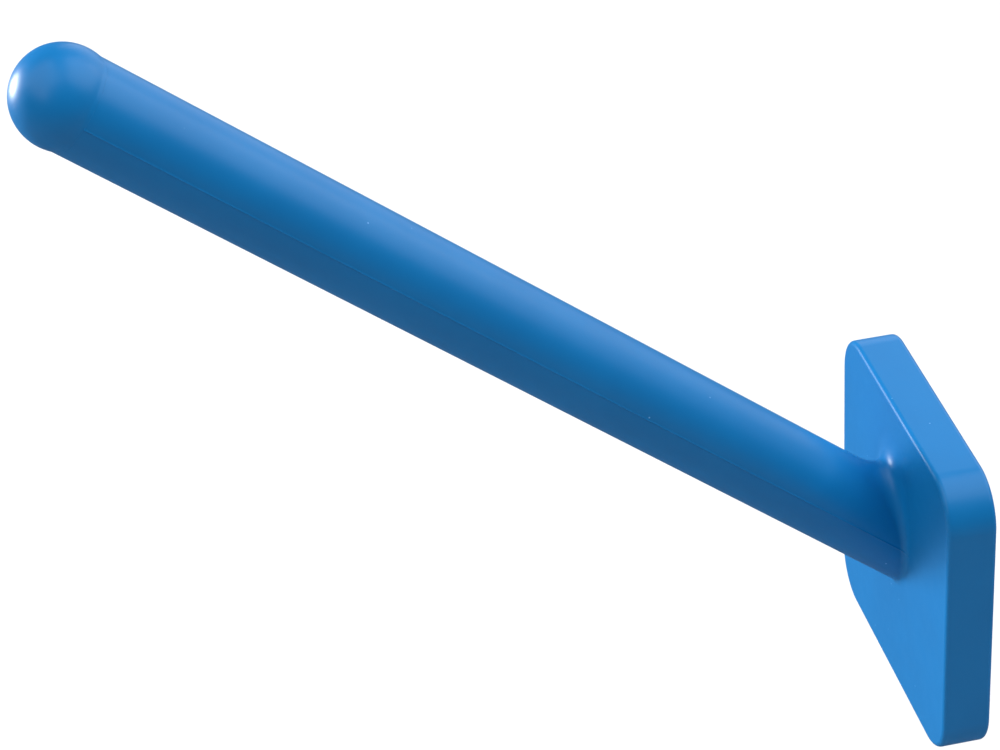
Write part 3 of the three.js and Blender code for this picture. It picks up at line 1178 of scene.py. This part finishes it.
    @staticmethod
    def _ring_at(level: float) -> None:
        """Adds a ring of edges to the edited bar at one X."""
        bpy.ops.mesh.select_all(action="SELECT")
        bpy.ops.mesh.bisect(plane_co=(level, 0, 0), plane_no=(1, 0, 0))

    @staticmethod
    def _widen(scale: float) -> None:
        """Scales the selection about the X axis."""
        bpy.ops.transform.resize(value=(1.0, scale, scale), center_override=(0.0, 0.0, 0.0))

    def _cut_threads(self, obj: bpy.types.Object, tip: float, root: float) -> None:
        """Draws the shank in between ridges, which reads as a thread.

        Args:
            obj: The screw, on the X axis.
            tip: The X of its tip.
            root: The X where the ridges end.
        """
        pitch = self.thread_pitch
        count = int((root - tip) / pitch)
        with Bench.editing(obj):
            for index in range(2 * count):
                self._ring_at(tip + (index + 0.5) * pitch / 2)
            valleys = [tip + (2 * index + 0.5) * pitch / 2 for index in range(count)]
            Bench.pick(obj, Pick.VERTS, lambda v: any(abs(v.co.x - x) < SAME for x in valleys))
            self._widen(self.thread_valley)

    def build(self) -> list[Piece]:
        """Builds the plate's pieces.

        Returns:
            The pieces.
        """
        return [self.front(), self.back(), self.pad(), *self.screws()]


@dataclass
class MetalCore:
    """The tube, plate, weld and pin inside, which stay as they come in the frame."""

    tilt: float
    finishes: dict[str, DrawnMetal] = field(init=False)

    def __post_init__(self) -> None:
        """Settles the finish of each metal piece."""
        aluminium: Colour = (0.70, 0.71, 0.73, 1.0)
        dull: Colour = (0.55, 0.56, 0.58, 1.0)
        lean = math.pi / 2 - self.tilt
        self.finishes = {
            "core_tube": DrawnMetal("drawn_aluminium", aluminium, dull, 0.28, tilt=lean),
            "plate_insert": DrawnMetal("rolled_aluminium", aluminium, dull, 0.34),
            "weld_bead": DrawnMetal("weld_aluminium", dull, (0.4, 0.38, 0.36, 1.0), 0.45, 0.7 * MM, 3.0),
            "ball_pin": DrawnMetal("pin_steel", (0.5, 0.5, 0.52, 1.0), (0.36, 0.36, 0.38, 1.0), 0.25),
        }

    def dress(self) -> None:
        """Gives each carried-over piece its finish."""
        for name, finish in self.finishes.items():
            node = frame["nodes"][name]
            node.data.materials.clear()
            node.data.materials.append(finish.make())
            log.info("%s: carried over, %s", name, finish.name)


# --- Studio ------------------------------------------------------------------------------------------


@dataclass(frozen=True)
class Lamp:
    """One soft area light, aimed at the object's middle."""

    name: str
    azimuth: float
    elevation: float
    distance: float
    size: tuple[float, float]
    power: float
    colour: tuple[float, float, float] = (1.0, 1.0, 1.0)

    def place(self, target: Vector) -> None:
        """Adds the light.

        Args:
            target: The point that it is aimed at.
        """
        light = bpy.data.lights.new(self.name, "AREA")
        light.shape = "RECTANGLE"
        light.size, light.size_y = self.size
        light.energy = self.power
        light.color = self.colour
        lamp = bpy.data.objects.new(self.name, light)
        bpy.context.scene.collection.objects.link(lamp)
        back = Studio.direction(self.azimuth, self.elevation)
        lamp.location = target + back * self.distance
        lamp.rotation_mode = "QUATERNION"
        lamp.rotation_quaternion = back.to_track_quat("Z", "Y")


@dataclass
class Studio:
    """Pale floor, soft lights and the camera."""

    azimuth: float = -9.74
    elevation: float = 33.115
    roll: float = -4.203
    distance: float = 802.7 * MM
    lens: float = 105.81
    aim_right: float = -107.05 * MM
    aim_up: float = 45.63 * MM
    floor_size: float = 8.0
    floor_drop: float = 0.12
    floor_colour: Colour = (0.62, 0.62, 0.62, 1.0)
    floor_shade: Colour = (0.6107, 0.6107, 0.6107, 1.0)
    floor_cloud: float = 0.4
    world_strength: float = 0.13
    lamps: tuple[Lamp, ...] = (
        Lamp("right_softbox", 88.0, 52.0, 1.3, (1.5, 1.5), 24.0),
        Lamp("left_softbox", -78.0, 55.0, 1.3, (1.4, 1.4), 15.5),
        Lamp("left_strip", -130.0, 3.5, 1.5, (0.42, 0.42), 33.5),
        Lamp("back_panel", 140.0, 20.0, 1.3, (1.8, 0.9), 7.0),
        Lamp("front_left_fill", -49.0, 31.0, 1.5, (0.3, 0.3), 0.7),
        Lamp("front_right_fill", 43.0, 42.0, 1.5, (0.3, 0.3), 0.35),
    )

    @staticmethod
    def direction(azimuth: float, elevation: float) -> Vector:
        """Gives the direction back towards a viewer.

        Args:
            azimuth: Degrees round the object; 0 looks along +Y.
            elevation: Degrees above the horizon.

        Returns:
            A unit vector from the object to the viewer.
        """
        a, e = math.radians(azimuth), math.radians(elevation)
        return Vector((math.sin(a) * math.cos(e), -math.cos(a) * math.cos(e), math.sin(e)))

    def _camera(self, target: Vector) -> None:
        """Adds the camera.

        Args:
            target: The point that its aim is measured from.
        """
        back = self.direction(self.azimuth, self.elevation)
        level = Vector((math.cos(math.radians(self.azimuth)), math.sin(math.radians(self.azimuth)), 0.0))
        turn = Matrix.Rotation(math.radians(self.roll), 3, back)
        right = turn @ level
        up = back.cross(right)
        data = bpy.data.cameras.new("camera")
        data.lens = self.lens
        data.sensor_width = 36.0
        data.clip_start, data.clip_end = 0.01, 50.0
        camera = bpy.data.objects.new("camera", data)
        bpy.context.scene.collection.objects.link(camera)
        aim = target + right * self.aim_right + up * self.aim_up
        axes = Matrix((right, up, back)).transposed().to_4x4()
        camera.matrix_world = Matrix.Translation(aim + back * self.distance) @ axes
        bpy.context.scene.camera = camera

    def _floor(self, level: float) -> None:
        """Adds the flat floor, which is left out of glossy reflections.

        Args:
            level: The floor's height.
        """
        floor = Bench.start(
            "studio_floor", bpy.ops.mesh.primitive_plane_add, size=self.floor_size, location=(0.0, 0.0, level)
        )
        Bench.place(floor, Matrix.Identity(4))
        recipe = Recipe("pale_floor")
        tone = recipe.noise(self.floor_cloud, 2.0)
        colour = recipe.mix(tone, self.floor_colour, self.floor_shade)
        floor.data.materials.append(recipe.surface(Base_Color=colour, Roughness=0.9))
        floor.visible_glossy = False

    def _world(self) -> None:
        """Fills the room with a soft even light."""
        world = bpy.data.worlds.new("studio_air")
        world.use_nodes = True
        background = world.node_tree.nodes["Background"]
        background.inputs["Color"].default_value = (1.0, 1.0, 1.0, 1.0)
        background.inputs["Strength"].default_value = self.world_strength
        bpy.context.scene.world = world
        bpy.context.scene.view_settings.view_transform = "Standard"

    def build(self) -> None:
        """Sets up the whole studio."""
        low, high = CAD_BOX
        plate_low, plate_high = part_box("plate_cover")
        self._floor(low.z - self.floor_drop)
        self._world()
        for lamp in self.lamps:
            lamp.place((low + high) / 2)
        self._camera(Vector((plate_low.x, 0.0, (plate_low.z + plate_high.z) / 2)))
        log.info("studio: %d lamps", len(self.lamps))


# --- Assembly ----------------------------------------------------------------------------------------


def main() -> None:
    """Builds every sub-assembly in order and dresses it."""
    logging.basicConfig(level=logging.INFO, format="%(name)s %(message)s")
    finishes = {
        "blue_moulding": GlossMoulding().make(),
        "blue_back": EtchedMoulding().make(),
        "grip_rubber": GripRubber().make(),
        "plated_steel": DrawnMetal(
            "plated_steel", (0.62, 0.63, 0.66, 1.0), (0.5, 0.5, 0.52, 1.0), 0.22, 0.2 * MM, 4.0
        ).make(),
    }
    shaft = ShaftFrame()
    clothing = ShaftClothing(shaft)
    assemblies = [clothing, BallNose(shaft), BasePlate(shaft, clothing)]
    for assembly in assemblies:
        for piece in assembly.build():
            piece.settle(finishes[piece.slot])
    MetalCore(shaft.tilt).dress()
    Studio().build()


if __name__ == "__main__":
    main()
